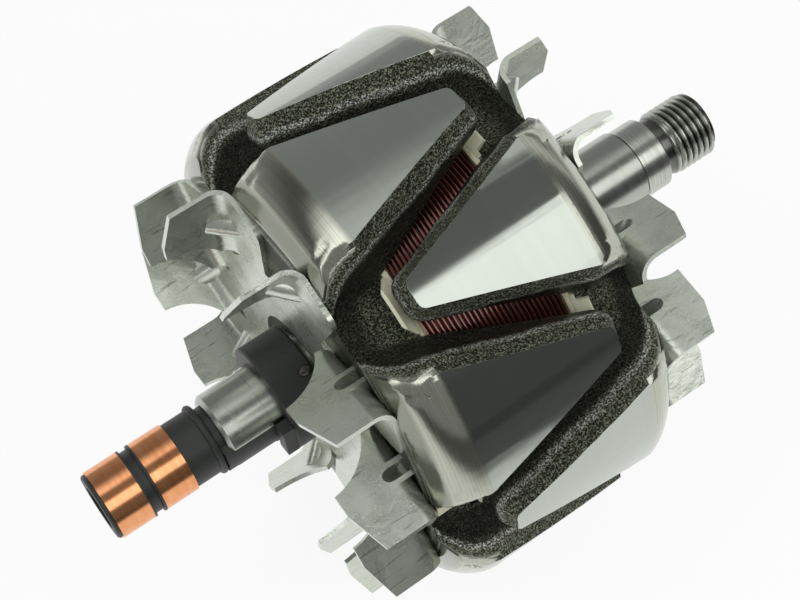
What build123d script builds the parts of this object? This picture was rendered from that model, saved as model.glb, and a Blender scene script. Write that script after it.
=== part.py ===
from build123d import *
import os
from math import asin, cos, hypot, radians, sin, tan

# Twelve-pole claw rotor of a vehicle alternator.
# The shaft lies along X with the pulley end at +X, Z is up, and the origin is on the
# shaft axis in the middle of the claw body. Angles are counted round X, from +Y towards +Z.

os.makedirs("parts", exist_ok=True)

# Claw body: two forged pole halves, six fingers each
claw_diameter = 106.0
fingers_per_pole = 6
land_half_length = 18.2
finger_reach = 14.9
pole_end = 27.0
pole_inner_face = 14.5
finger_root_width = 26.8
finger_tip_width = 5.6
finger_draft = 10.0
tip_corner_radius = 1.6
valley_diameter = 80.0
valley_fillet = 3.5
shoulder_middle_drop = 1.5
shoulder_middle_length = 4.2
shoulder_end_drop = 4.2
shoulder_length = 7.0
bevel_end_diameter = 90.4
shoulder_corner_radius = 4.0
shoulder_corner_lift = 1.3
tip_underside_diameter = 92.8
underside_overrun = 3.0
root_underside_diameter = 83.4
underside_end = 13.0
lead_groove_depth = 1.6

# Field core, bobbin and winding between the pole halves
core_diameter = 54.0
bobbin_clearance = 0.3
bobbin_wall = 1.5
flange_inner_face = 13.2
flange_thickness = 1.1
flange_diameter = 82.2
petal_root_diameter = 80.6
petal_diameter = 87.0
petal_flare = 2.7
petal_root_width = 12.0
petal_tip_width = 7.4
petal_corner_radius = 1.6
notched_tip_width = 9.4
notch_start = 14.9
winding_clearance = 0.1
winding_diameter = 80.8
wire_pitch = 1.0
wire_groove_depth = 0.25

# Shaft
body_diameter = 19.0
drive_seat_diameter = 17.0
drive_seat_start = 28.4
drive_seat_end = 54.6
seat_groove_width = 0.5
seat_groove_depth = 0.4
collar_diameter = 16.1
collar_end = 61.0
collar_chamfer = 0.5
relief_diameter = 13.4
relief_length = 2.9
thread_diameter = 14.8
thread_end = 73.9
thread_chamfer = 0.6
centre_diameter = 5.0
centre_depth = 3.2
rear_shoulder_diameter = 16.6
rear_seat_diameter = 16.2
rear_seat_end = 49.9
rear_seat_chamfer = 0.8
spigot_diameter = 8.0
spigot_end = 70.0
lead_slot_width = 8.0
lead_slot_depth = 4.0
lead_slot_angle = 190.0
fit_clearance = 0.05

# Slip-ring moulding with its two rings
ring_diameter = 15.0
ring_bore = 11.8
ring_width = 7.2
inner_ring_start = 58.5
ring_gap = 2.8
lip_width = 0.5
gap_groove_depth = 0.6
rim_width = 0.9
rim_drop = 0.35
neck_drop = 0.4
recess_diameter = 12.6
recess_width = 1.5
bead_diameter = 15.6
bead_width = 1.6
terminal_collar_diameter = 23.4
terminal_collar_start = 28.4
terminal_collar_end = 37.6
terminal_block_diameter = 22.4
terminal_block_length = 2.6
terminal_block_angle = 181.0
end_recess_diameter = 9.4
end_recess_depth = 1.2

# Lead bars inside the moulding, and the field leads with their sleeves
bar_width = 2.2
bar_thickness = 0.8
bar_floor = 4.1
key_drop = 0.2
bar_offset = 1.9
bar_riser_place = 32.0
bar_overlap = 3.5
loop_diameter = 19.4
loop_thickness = 0.8
lead_width = 2.0
lead_thickness = 0.9
lead_lift = 0.55
lead_start = 13.6
lead_gap = 0.35
sleeve_wall = 0.4
sleeve_length = 8.4
varnish_angle = 118.0
varnish_length = 3.2
varnish_height = 1.1

# Fans: stamped sheet steel, one on each pole face
sheet = 1.0
bend_radius = 4.0
blade_tip_bevel = 2.6
blade_waist = 15.8
blade_waist_height = 7.8
blade_foot_height = 3.6
blade_length = 21.0
rib_half_width = 1.3
rib_place = 11.0
arm_fillet = 2.6
drive_fan_hole = 24.0
drive_fan_diameter = 94.6
drive_blade_lean = 22.0
drive_blade_angles = (17.0, 50.8, 82.1, 109.8, 141.8, 171.3, 196.5, 226.0, 257.5, 286.0, 318.0, 346.5)
drive_blade_height = 13.8
drive_rib_reach = 7.0
drive_blade_tip = (6.3, 14.4)
drive_arm_width = 12.2
drive_arm_slope = 8.4
rear_fan_hole = 27.6
rear_fan_diameter = 94.0
rear_blade_lean = 32.0
rear_blade_angles = (1.8, 31.8, 66.3, 137.8, 169.3, 197.8, 226.5, 252.4, 282.8, 328.0)
steep_blade_lean = 20.0
steep_blade_angle = 99.2
rear_blade_height = 14.6
rear_rib_reach = 5.4
rear_blade_tip = (8.9, 13.3)
rear_arm_width = 14.0
rear_arm_slope = 0.0

# Places worked out from the sizes above
claw_radius = claw_diameter / 2
finger_pitch = 360.0 / fingers_per_pole
seat_radius = rear_seat_diameter / 2
shoulder_radius = rear_shoulder_diameter / 2
rear_seat_start = terminal_collar_end + terminal_block_length
ring_radius = ring_diameter / 2
inner_ring_end = inner_ring_start + ring_width
outer_ring_start = inner_ring_end + ring_gap
outer_ring_end = outer_ring_start + ring_width
moulding_end = outer_ring_end + rim_width
lead_height = valley_diameter / 2 + lead_lift
bar_top = bar_floor + bar_thickness
lead_landing = terminal_collar_diameter / 2 + 2 * fit_clearance


# Shaft: one turned bar with both bearing seats, the pulley collar and the thread
with BuildPart() as shaft:
    with BuildSketch(Plane.XY):
        with BuildLine():
            Polyline(
                (-spigot_end, 0),
                (-spigot_end, spigot_diameter / 2),
                (-rear_seat_end, spigot_diameter / 2),
                (-rear_seat_end, seat_radius - rear_seat_chamfer),
                (-rear_seat_end + rear_seat_chamfer, seat_radius),
                (-rear_seat_start, seat_radius),
                (-rear_seat_start, shoulder_radius),
                (-pole_end, shoulder_radius),
                (-pole_end, body_diameter / 2),
                (drive_seat_start, body_diameter / 2),
                (drive_seat_start, drive_seat_diameter / 2),
                (drive_seat_end - seat_groove_width, drive_seat_diameter / 2),
                (drive_seat_end - seat_groove_width, collar_diameter / 2 - seat_groove_depth),
                (drive_seat_end, collar_diameter / 2 - seat_groove_depth),
                (drive_seat_end, collar_diameter / 2),
                (collar_end - collar_chamfer, collar_diameter / 2),
                (collar_end, collar_diameter / 2 - collar_chamfer),
                (collar_end, relief_diameter / 2),
                (collar_end + relief_length, relief_diameter / 2),
                (collar_end + relief_length + thread_chamfer, thread_diameter / 2),
                (thread_end - thread_chamfer, thread_diameter / 2),
                (thread_end, thread_diameter / 2 - thread_chamfer),
                (thread_end, centre_diameter / 2),
                (thread_end - centre_depth, 0),
                close=True,
            )
        make_face()
    revolve(axis=Axis.X)
    # One broad groove carries both lead bars under the rear bearing
    with BuildSketch(Plane.YZ.offset(-rear_seat_end)):
        with PolarLocations(seat_radius, 1, start_angle=lead_slot_angle):
            Rectangle(2 * lead_slot_depth, lead_slot_width)
    extrude(amount=rear_seat_end - terminal_collar_start, mode=Mode.SUBTRACT)


# Pole halves. The star is the end view of a pole plate: six lobes with rounded valleys between
wall_slope = tan(radians(finger_draft))
star_foot = finger_root_width / 2 + (claw_radius - core_diameter / 2) * wall_slope
with BuildSketch() as star:
    Circle(valley_diameter / 2)
    with PolarLocations(0, fingers_per_pole):
        Polygon(
            (claw_radius, finger_root_width / 2),
            (core_diameter / 2, star_foot),
            (core_diameter / 2, -star_foot),
            (claw_radius, -finger_root_width / 2),
            align=None,
        )
    valley_corners = star.vertices().filter_by(
        lambda corner: abs(hypot(corner.X, corner.Y) - valley_diameter / 2) < 0.01
    )
    # Each rounding takes less than half of a valley's floor, so that a little of it is left
    lobe_half_width = finger_root_width / 2 + (claw_radius - valley_diameter / 2) * wall_slope
    floor_angle = 2 * (radians(finger_pitch / 2) - asin(lobe_half_width / (valley_diameter / 2)))
    floor_width = floor_angle * valley_diameter / 2
    fillet(valley_corners, min(valley_fillet, 0.5 * floor_width))

# One finger: a tapering tongue with drafted sides, drawn from its ground face inwards
with BuildPart() as finger:
    with BuildSketch(Plane(origin=(0, claw_radius, 0), x_dir=(1, 0, 0), z_dir=(0, -1, 0))) as tongue:
        Polygon(
            (-finger_reach, -finger_tip_width / 2),
            (land_half_length, -finger_root_width / 2),
            (pole_end + 1, -finger_root_width / 2),
            (pole_end + 1, finger_root_width / 2),
            (land_half_length, finger_root_width / 2),
            (-finger_reach, finger_tip_width / 2),
            align=None,
        )
        fillet(tongue.vertices().group_by(Axis.X)[0], tip_corner_radius)
    extrude(amount=claw_radius - valley_diameter / 2 + 1, taper=-finger_draft)

# Cutter for the rounded forged corner that runs down the shoulder beside each lobe
shoulder_run = pole_end - land_half_length
shoulder_fall = claw_radius - bevel_end_diameter / 2
corner_start = (
    land_half_length - shoulder_run,
    claw_radius + shoulder_fall + shoulder_corner_lift,
    finger_root_width / 2 - (shoulder_fall + shoulder_corner_lift) * wall_slope,
)
corner_run = (shoulder_run, -shoulder_fall, shoulder_fall * wall_slope)
corner_plane = Plane(origin=corner_start, x_dir=(0, wall_slope, 1), z_dir=corner_run)
half_corner = radians(90 + finger_draft) / 2
tangent_length = shoulder_corner_radius / tan(half_corner)
arc_middle = shoulder_corner_radius * (1 / sin(half_corner) - 1)
wall_end = (tangent_length * sin(radians(finger_draft)), tangent_length * cos(radians(finger_draft)))
reach = 2 * shoulder_corner_radius
with BuildPart() as shoulder_corner:
    with BuildSketch(corner_plane) as corner_section:
        with BuildLine():
            rounding = ThreePointArc(
                (-tangent_length, 0),
                (-arc_middle * cos(half_corner), arc_middle * sin(half_corner)),
                wall_end,
            )
            Polyline(
                rounding @ 1,
                (wall_end[0] + reach, wall_end[1]),
                (wall_end[0] + reach, -reach),
                (-tangent_length, -reach),
                rounding @ 0,
            )
        make_face()
    extrude(amount=3 * hypot(*corner_run))

with BuildPart() as drive_end_pole:
    with BuildSketch(Plane.YZ.offset(pole_inner_face)):
        Circle(valley_diameter / 2)
    extrude(amount=pole_end - pole_inner_face)
    with BuildSketch(Plane.YZ.offset(land_half_length)):
        add(star.sketch)
    extrude(amount=pole_end - land_half_length)
    for index in range(fingers_per_pole):
        add(finger.part.rotate(Axis.X, index * finger_pitch))
    # The blank is turned down to the ground face, the rounded shoulder and the underside
    tip_side = -finger_reach - underside_overrun
    underside_drop = (tip_underside_diameter - root_underside_diameter) / 2
    underside_slope = underside_drop / (underside_end + finger_reach)
    with BuildSketch(Plane.XY):
        with BuildLine():
            shoulder = ThreePointArc(
                (land_half_length, claw_radius),
                (land_half_length + shoulder_middle_length, claw_radius - shoulder_middle_drop),
                (land_half_length + shoulder_length, claw_radius - shoulder_end_drop),
            )
            Polyline(
                shoulder @ 1,
                (pole_end, bevel_end_diameter / 2),
                (pole_end, body_diameter / 2),
                (pole_inner_face, body_diameter / 2),
                (pole_inner_face, root_underside_diameter / 2),
                (underside_end, root_underside_diameter / 2),
                (tip_side, tip_underside_diameter / 2 + underside_overrun * underside_slope),
                (tip_side, claw_radius),
                shoulder @ 0,
            )
        make_face()
    revolve(axis=Axis.X, mode=Mode.INTERSECT)
    for index in range(fingers_per_pole):
        corner = shoulder_corner.part.rotate(Axis.X, index * finger_pitch)
        other_corner = shoulder_corner.part.mirror(Plane.XY).rotate(Axis.X, index * finger_pitch)
        add(corner, mode=Mode.SUBTRACT)
        add(other_corner, mode=Mode.SUBTRACT)

# The other pole half is its mirror image, turned by half a pitch, with two grooves for the leads
with BuildPart() as slip_ring_end_pole:
    add(drive_end_pole.part.mirror(Plane.YZ).rotate(Axis.X, finger_pitch / 2))
    with BuildSketch(Plane.YZ.offset(-pole_end)):
        with PolarLocations(claw_radius / 2, 2):
            Rectangle(claw_radius, lead_width + 2 * lead_gap)
    extrude(amount=lead_groove_depth, mode=Mode.SUBTRACT)

with BuildPart() as field_core:
    with BuildSketch(Plane.YZ.offset(-pole_inner_face)):
        Circle(core_diameter / 2)
        Circle(body_diameter / 2, mode=Mode.SUBTRACT)
    extrude(amount=2 * pole_inner_face)

# Bobbin: a spool whose flanges flare out into each valley as a petal
bobbin_bore = core_diameter + 2 * bobbin_clearance
tube_diameter = bobbin_bore + 2 * bobbin_wall
flange_outer_face = flange_inner_face + flange_thickness
petal_tip_face = flange_outer_face + petal_flare
petals = []
for notched in (True, False):
    tip_width = notched_tip_width if notched else petal_tip_width
    width_change_end = notch_start if notched else petal_tip_face
    with BuildPart() as petal:
        with BuildSketch(Plane.XY):
            Polygon(
                (flange_inner_face, petal_root_diameter / 2),
                (flange_outer_face, petal_root_diameter / 2),
                (petal_tip_face, petal_diameter / 2 - flange_thickness / 2),
                (petal_tip_face - flange_thickness / 2, petal_diameter / 2),
                align=None,
            )
        revolve(axis=Axis.X)
        with BuildSketch(Plane(origin=(0, core_diameter / 2, 0), x_dir=(1, 0, 0), z_dir=(0, 1, 0))) as outline:
            Polygon(
                (flange_inner_face - 1, petal_root_width / 2),
                (notch_start, petal_root_width / 2),
                (width_change_end, tip_width / 2),
                (petal_tip_face, tip_width / 2),
                (petal_tip_face, -tip_width / 2),
                (width_change_end, -tip_width / 2),
                (notch_start, -petal_root_width / 2),
                (flange_inner_face - 1, -petal_root_width / 2),
                align=None,
            )
            if not notched:
                fillet(outline.vertices().group_by(Axis.X)[-1], petal_corner_radius)
        extrude(amount=claw_radius - core_diameter / 2, mode=Mode.INTERSECT)
    petals.append(petal.part)
drive_petal = petals[0]
rear_petal = petals[1].mirror(Plane.YZ)
with BuildPart() as coil_bobbin:
    for index in range(fingers_per_pole):
        add(drive_petal.rotate(Axis.X, (index + 0.5) * finger_pitch))
        add(rear_petal.rotate(Axis.X, index * finger_pitch))
    with BuildSketch(Plane.XY):
        Polygon(
            (-flange_outer_face, bobbin_bore / 2),
            (-flange_outer_face, flange_diameter / 2),
            (-flange_inner_face, flange_diameter / 2),
            (-flange_inner_face, tube_diameter / 2),
            (flange_inner_face, tube_diameter / 2),
            (flange_inner_face, flange_diameter / 2),
            (flange_outer_face, flange_diameter / 2),
            (flange_outer_face, bobbin_bore / 2),
            align=None,
        )
    revolve(axis=Axis.X)
    # Openings where the two ends of the wire leave the spool
    with BuildSketch(Plane.YZ.offset(-flange_inner_face)):
        with PolarLocations(valley_diameter / 2 + petal_flare, 2):
            Rectangle(2 * petal_flare, lead_width + 2 * lead_gap)
    extrude(amount=-petal_tip_face, mode=Mode.SUBTRACT)

# Winding: one solid, its outer face grooved once for each turn of the top layer
winding_half = flange_inner_face - winding_clearance
turns = int(2 * winding_half / wire_pitch)
turn_width = 2 * winding_half / turns
with BuildPart() as field_winding:
    top_layer = [(-winding_half, winding_diameter / 2 - wire_groove_depth)]
    for turn in range(turns):
        turn_start = -winding_half + turn * turn_width
        top_layer.append((turn_start + turn_width / 2, winding_diameter / 2))
        top_layer.append((turn_start + turn_width, winding_diameter / 2 - wire_groove_depth))
    inner_layer = tube_diameter / 2 + winding_clearance
    with BuildSketch(Plane.XY):
        Polygon(*top_layer, (winding_half, inner_layer), (-winding_half, inner_layer), align=None)
    revolve(axis=Axis.X)


# Field leads: each runs out along a valley, down a groove in the pole face, to its terminal
lead_outer_face = pole_end - fit_clearance
lead_inner_face = lead_outer_face - lead_thickness
leads = []
sleeves = []
for name, angle in (("start", 180.0), ("finish", 0.0)):
    with BuildPart() as lead:
        with BuildSketch(Plane.XY):
            Polygon(
                (-lead_start, lead_height),
                (-lead_start, lead_height + lead_thickness),
                (-lead_outer_face, lead_height + lead_thickness),
                (-lead_outer_face, lead_landing + lead_thickness),
                (-bar_riser_place, lead_landing + lead_thickness),
                (-bar_riser_place, lead_landing),
                (-lead_inner_face, lead_landing),
                (-lead_inner_face, lead_height),
                align=None,
            )
        extrude(amount=lead_width / 2, both=True)
    field_lead = lead.part.rotate(Axis.X, angle)
    leads.append((name + "_lead", field_lead))
    sleeve_start = petal_tip_face + fit_clearance
    with BuildPart() as sleeve:
        with BuildSketch(Plane.YZ.offset(-sleeve_start)):
            with Locations((lead_height + lead_thickness / 2, 0)):
                Rectangle(lead_thickness + 2 * sleeve_wall, lead_width + 2 * sleeve_wall)
                Rectangle(lead_thickness, lead_width, mode=Mode.SUBTRACT)
        extrude(amount=-sleeve_length)
    sleeves.append((name + "_lead_sleeve", sleeve.part.rotate(Axis.X, angle)))

# Slip rings, and the flat bars that join them to the terminals
with BuildPart() as inner_slip_ring:
    with BuildSketch(Plane.YZ.offset(-inner_ring_start)):
        Circle(ring_radius)
        Circle(ring_bore / 2, mode=Mode.SUBTRACT)
    extrude(amount=-ring_width)

with BuildPart() as outer_slip_ring:
    with BuildSketch(Plane.YZ.offset(-outer_ring_start)):
        Circle(ring_radius)
        Circle(ring_bore / 2, mode=Mode.SUBTRACT)
    extrude(amount=-ring_width)

# Both bars lie side by side in the groove. One rises straight to its terminal, and the other
# first goes half-way round the shaft inside the collar.
landing_top = lead_landing + lead_thickness
with BuildPart() as inner_ring_lead_bar:
    with BuildSketch(Plane.XY.offset(-bar_offset)):
        Polygon(
            (-inner_ring_start - bar_overlap, bar_floor),
            (-inner_ring_start - bar_overlap, bar_top),
            (-bar_riser_place - bar_thickness, bar_top),
            (-bar_riser_place - bar_thickness, landing_top),
            (-bar_riser_place, landing_top),
            (-bar_riser_place, bar_floor),
            align=None,
        )
    extrude(amount=bar_width / 2, both=True)
with BuildPart() as outer_ring_lead_bar:
    with BuildSketch(Plane.XY.offset(bar_offset)):
        Polygon(
            (-outer_ring_start - bar_overlap, bar_floor),
            (-outer_ring_start - bar_overlap, bar_top),
            (-bar_riser_place - bar_thickness, bar_top),
            (-bar_riser_place - bar_thickness, loop_diameter / 2),
            (-bar_riser_place, loop_diameter / 2),
            (-bar_riser_place, bar_floor),
            align=None,
        )
    extrude(amount=bar_width / 2, both=True)
    with BuildSketch(Plane.YZ.offset(-bar_riser_place - bar_thickness)):
        Circle(loop_diameter / 2)
        Circle(loop_diameter / 2 - loop_thickness, mode=Mode.SUBTRACT)
        loop_end = 180.0 - lead_slot_angle
        Polygon(
            (0, 0),
            (claw_radius, 0),
            (claw_radius * cos(radians(loop_end / 2)), claw_radius * sin(radians(loop_end / 2))),
            (claw_radius * cos(radians(loop_end)), claw_radius * sin(radians(loop_end))),
            align=None,
            mode=Mode.SUBTRACT,
        )
        Rectangle(2 * claw_radius, claw_radius, align=(Align.CENTER, Align.MAX), mode=Mode.SUBTRACT)
    extrude(amount=bar_thickness)
    with BuildSketch(Plane.YZ.offset(-bar_riser_place - bar_thickness)):
        with PolarLocations((loop_diameter / 2 - loop_thickness + landing_top) / 2, 1, start_angle=180 + loop_end):
            Rectangle(landing_top - loop_diameter / 2 + loop_thickness, bar_width)
    extrude(amount=bar_thickness)
bars = []
for name, bar in (("inner", inner_ring_lead_bar), ("outer", outer_ring_lead_bar)):
    bars.append((name + "_ring_lead_bar", bar.part.rotate(Axis.X, lead_slot_angle)))

# Slip-ring moulding: barrel, sealing bead, two keys in the shaft grooves and terminal collar
bead_start = rear_seat_end + recess_width
bead_end = bead_start + bead_width
neck_radius = ring_radius - neck_drop
rim_radius = ring_radius - rim_drop
gap_groove_radius = ring_radius - gap_groove_depth
with BuildPart() as slip_ring_moulding:
    with BuildSketch(Plane.XY):
        with BuildLine():
            Polyline(
                (-moulding_end, 0),
                (-moulding_end, rim_radius - rim_drop),
                (-moulding_end + rim_drop, rim_radius),
                (-outer_ring_end, rim_radius),
                (-outer_ring_end, ring_bore / 2),
                (-outer_ring_start, ring_bore / 2),
                (-outer_ring_start, ring_radius),
                (-outer_ring_start + lip_width, ring_radius),
                (-outer_ring_start + lip_width, gap_groove_radius),
                (-inner_ring_end - lip_width, gap_groove_radius),
                (-inner_ring_end - lip_width, ring_radius),
                (-inner_ring_end, ring_radius),
                (-inner_ring_end, ring_bore / 2),
                (-inner_ring_start, ring_bore / 2),
                (-inner_ring_start, neck_radius),
                (-bead_end, neck_radius),
            )
            bead_top = ThreePointArc(
                (-bead_end, neck_radius),
                (-(bead_start + bead_end) / 2, bead_diameter / 2),
                (-bead_start, neck_radius),
            )
            Polyline(
                bead_top @ 1,
                (-bead_start, recess_diameter / 2),
                (-rear_seat_end - fit_clearance, recess_diameter / 2),
                (-rear_seat_end - fit_clearance, 0),
                (-moulding_end, 0),
            )
        make_face()
    revolve(axis=Axis.X)
    with BuildSketch(Plane.YZ.offset(-terminal_collar_end)):
        Circle(terminal_collar_diameter / 2)
        Circle(shoulder_radius + fit_clearance, mode=Mode.SUBTRACT)
    extrude(amount=terminal_collar_end - terminal_collar_start)
    chamfer(slip_ring_moulding.edges().filter_by(GeomType.CIRCLE).filter_by(
        lambda edge: abs(edge.radius - terminal_collar_diameter / 2) < 0.01), rim_drop)
    # The key fills the groove of the shaft and stays just below the bearing seat
    key_floor = seat_radius - lead_slot_depth + fit_clearance
    key_width = lead_slot_width - 2 * fit_clearance
    with BuildSketch(Plane.YZ.offset(-rear_seat_end - recess_width)):
        with PolarLocations((key_floor + seat_radius + 1) / 2, 1, start_angle=lead_slot_angle):
            Rectangle(seat_radius + 1 - key_floor, key_width)
        Circle(seat_radius - key_drop, mode=Mode.INTERSECT)
    extrude(amount=rear_seat_end + recess_width - terminal_collar_end)
    key_top = terminal_collar_diameter / 2 - 1
    with BuildSketch(Plane.YZ.offset(-terminal_collar_end)):
        with PolarLocations((key_floor + key_top) / 2, 1, start_angle=lead_slot_angle):
            Rectangle(key_top - key_floor, key_width)
    extrude(amount=terminal_collar_end - terminal_collar_start - fit_clearance)
    # A block on the collar covers the place where the bars leave the groove
    block_floor = shoulder_radius - fit_clearance
    with BuildSketch(Plane.YZ.offset(-terminal_collar_end)):
        block_middle = (block_floor + terminal_block_diameter / 2) / 2
        with PolarLocations(block_middle, 1, start_angle=terminal_block_angle):
            Rectangle(terminal_block_diameter / 2 - block_floor, lead_slot_width)
        Circle(shoulder_radius + fit_clearance, mode=Mode.SUBTRACT)
    extrude(amount=-terminal_block_length)
    # Bore for the shaft's spigot and a shallow recess in the end face
    with BuildSketch(Plane.YZ.offset(-spigot_end - fit_clearance)):
        Circle(spigot_diameter / 2 + fit_clearance)
    extrude(amount=spigot_end - rear_seat_end, mode=Mode.SUBTRACT)
    with BuildSketch(Plane.YZ.offset(-moulding_end)):
        Circle(end_recess_diameter / 2)
    extrude(amount=end_recess_depth, mode=Mode.SUBTRACT)
    for name, bar_part in bars:
        add(bar_part, mode=Mode.SUBTRACT)

# Varnish drop, set hard in the corner between the collar and the fan
with BuildPart() as terminal_varnish:
    drop_height = terminal_collar_diameter / 2
    drop_place = -terminal_collar_start - varnish_length / 2
    with BuildSketch(Plane.XY):
        with Locations((drop_place, drop_height)):
            Ellipse(varnish_length / 2, varnish_height)
        Rectangle(4 * claw_radius, drop_height, align=(Align.CENTER, Align.MIN), mode=Mode.SUBTRACT)
    revolve(axis=Axis((drop_place, drop_height, 0), (1, 0, 0)))
    with BuildSketch(Plane.YZ):
        Circle(drop_height + fit_clearance)
    extrude(amount=-claw_radius, mode=Mode.SUBTRACT)


# Fans. A blade is drawn for a fan whose sheet lies on x = 0, with its outer foot on +Y.
def blade_frame(diameter, lean):
    outward = (0, cos(radians(lean)), sin(radians(lean)))
    inward = (0, -outward[1], -outward[2])
    sideways = (0, -outward[2], outward[1])
    foot = (0, diameter / 2, 0)
    return foot, outward, inward, sideways


def blade_point(diameter, lean, angle, inward_step, side_step):
    direction = radians(angle + lean)
    y = diameter / 2 * cos(radians(angle)) - inward_step * cos(direction) - side_step * sin(direction)
    z = diameter / 2 * sin(radians(angle)) - inward_step * sin(direction) + side_step * cos(direction)
    return (y, z)


def make_blade(diameter, lean, height, tip_corners, rib_reach):
    foot, outward, inward, sideways = blade_frame(diameter, lean)
    outline_plane = Plane(origin=foot, x_dir=inward, z_dir=sideways)
    # Stiffening rib pressed across the bend: a hump inside and a hollow outside
    rib_depth = rib_reach / 2 ** 0.5
    diagonal = tuple((a - b) / 2 ** 0.5 for a, b in zip(sideways, (1, 0, 0)))
    across = tuple((a + b) / 2 ** 0.5 for a, b in zip(sideways, (1, 0, 0)))
    middle = tuple(a + rib_place * b for a, b in zip(foot, inward))
    rib_plane = Plane(origin=middle, x_dir=across, z_dir=diagonal)
    hump_radius = rib_half_width + sheet
    hump_middle = rib_depth - rib_half_width
    with BuildPart() as rib:
        with BuildSketch(rib_plane):
            with Locations((hump_middle, 0)):
                Circle(hump_radius)
            Rectangle(hump_middle, 2 * hump_radius, align=(Align.MIN, Align.CENTER))
        extrude(amount=rib_reach, both=True)
        with BuildSketch(outline_plane):
            Rectangle(blade_length, height - blade_tip_bevel, align=(Align.MIN, Align.MIN))
        extrude(amount=2 * rib_reach, mode=Mode.INTERSECT)
    with BuildPart() as blade:
        # Section across the bend: flat foot, quarter bend, upright blade
        with BuildSketch(Plane(origin=foot, x_dir=sideways, z_dir=outward)):
            with BuildLine():
                outer_bend = CenterArc((bend_radius, bend_radius), bend_radius, 180, 90)
                inner_bend = CenterArc((bend_radius, bend_radius), bend_radius - sheet, 180, 90)
                Polyline(
                    outer_bend @ 0,
                    (0, height),
                    (sheet, height),
                    inner_bend @ 0,
                )
                Polyline(
                    outer_bend @ 1,
                    (bend_radius + sheet, 0),
                    (bend_radius + sheet, sheet),
                    inner_bend @ 1,
                )
            make_face()
        extrude(amount=-blade_length)
        # Outline of the blade, seen square on
        with BuildSketch(outline_plane):
            with BuildLine():
                waist = ThreePointArc(
                    (tip_corners[1], height),
                    (blade_waist, blade_waist_height),
                    (blade_length, blade_foot_height),
                )
                Polyline(
                    waist @ 1,
                    (blade_length, 0),
                    (0, 0),
                    (0, height - blade_tip_bevel),
                    (tip_corners[0], height),
                    waist @ 0,
                )
            make_face()
        extrude(amount=bend_radius + sheet, mode=Mode.INTERSECT)
        add(rib.part)
        with BuildSketch(rib_plane):
            with Locations((hump_middle, 0)):
                Circle(rib_half_width)
            Rectangle(hump_middle, 2 * rib_half_width, align=(Align.MIN, Align.CENTER))
        extrude(amount=rib_reach, both=True, mode=Mode.SUBTRACT)
    return blade.part


def draw_fan_sheet(sketch, diameter, blades, arm_width, arm_slope, hole):
    Circle(hypot(*blade_point(diameter, blades[0][1], 0, blade_length, bend_radius)))
    corners = []
    for angle, lean in blades:
        corner = blade_point(diameter, lean, angle, arm_slope, arm_width)
        corners.append(corner)
        Polygon(
            blade_point(diameter, lean, angle, 0, bend_radius),
            blade_point(diameter, lean, angle, 0, bend_radius + sheet),
            corner,
            blade_point(diameter, lean, angle, blade_length, arm_width),
            blade_point(diameter, lean, angle, blade_length, bend_radius),
            align=None,
        )
    for corner in corners:
        fillet(sketch.vertices().sort_by_distance(corner)[0], arm_fillet)
    Circle(hole / 2, mode=Mode.SUBTRACT)


def place_blades(diameter, blades, height, tip_corners, rib_reach):
    made = {}
    placed = []
    for angle, lean in blades:
        if lean not in made:
            made[lean] = make_blade(diameter, lean, height, tip_corners, rib_reach)
        placed.append(made[lean].rotate(Axis.X, angle).moved(Location((pole_end, 0, 0))))
    return placed


drive_blades = [(angle, drive_blade_lean) for angle in drive_blade_angles]
drive_blade_parts = place_blades(
    drive_fan_diameter,
    drive_blades,
    drive_blade_height,
    drive_blade_tip,
    drive_rib_reach,
)
with BuildPart() as drive_end_fan:
    with BuildSketch(Plane.YZ.offset(pole_end)) as drive_sheet:
        draw_fan_sheet(
            drive_sheet,
            drive_fan_diameter,
            drive_blades,
            drive_arm_width,
            drive_arm_slope,
            drive_fan_hole,
        )
    extrude(amount=sheet)
    for blade_part in drive_blade_parts:
        add(blade_part)

rear_blades = [(angle, rear_blade_lean) for angle in rear_blade_angles]
rear_blades.append((steep_blade_angle, steep_blade_lean))
rear_blade_parts = place_blades(
    rear_fan_diameter,
    rear_blades,
    rear_blade_height,
    rear_blade_tip,
    rear_rib_reach,
)
with BuildPart() as slip_ring_end_fan:
    with BuildSketch(Plane.YZ.offset(-pole_end)) as rear_sheet:
        draw_fan_sheet(
            rear_sheet,
            rear_fan_diameter,
            rear_blades,
            rear_arm_width,
            rear_arm_slope,
            rear_fan_hole,
        )
    extrude(amount=-sheet)
    for blade_part in rear_blade_parts:
        add(blade_part.mirror(Plane.YZ))


pieces = [
    ("shaft", shaft.part),
    ("drive_end_pole", drive_end_pole.part),
    ("slip_ring_end_pole", slip_ring_end_pole.part),
    ("field_core", field_core.part),
    ("coil_bobbin", coil_bobbin.part),
    ("field_winding", field_winding.part),
    ("drive_end_fan", drive_end_fan.part),
    ("slip_ring_end_fan", slip_ring_end_fan.part),
    ("slip_ring_moulding", slip_ring_moulding.part),
    ("inner_slip_ring", inner_slip_ring.part),
    ("outer_slip_ring", outer_slip_ring.part),
    ("terminal_varnish", terminal_varnish.part.rotate(Axis.X, varnish_angle)),
]
pieces += leads
pieces += sleeves
pieces += bars
for label, solid in pieces:
    solid.label = label
    export_step(solid, f"parts/{label}.step")
    print(label, round(solid.volume), "mm3")
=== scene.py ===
# %% [markdown]
# # An alternator rotor, dressed for its picture
# The frame is the CAD model: a shaft along X, two claw-pole halves, a wound coil between
# them, a stamped fan on each side and a pair of slip rings. Its shapes are true already, so
# this lesson gives it surfaces: ground steel, forged steel, galvanised sheet, enamelled
# wire, nylon, black moulding and copper. Four pieces get a finer form as well: the two pole
# halves with their lumpy forged sides, the shaft with its thread, and the winding with its
# turns.

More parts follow.
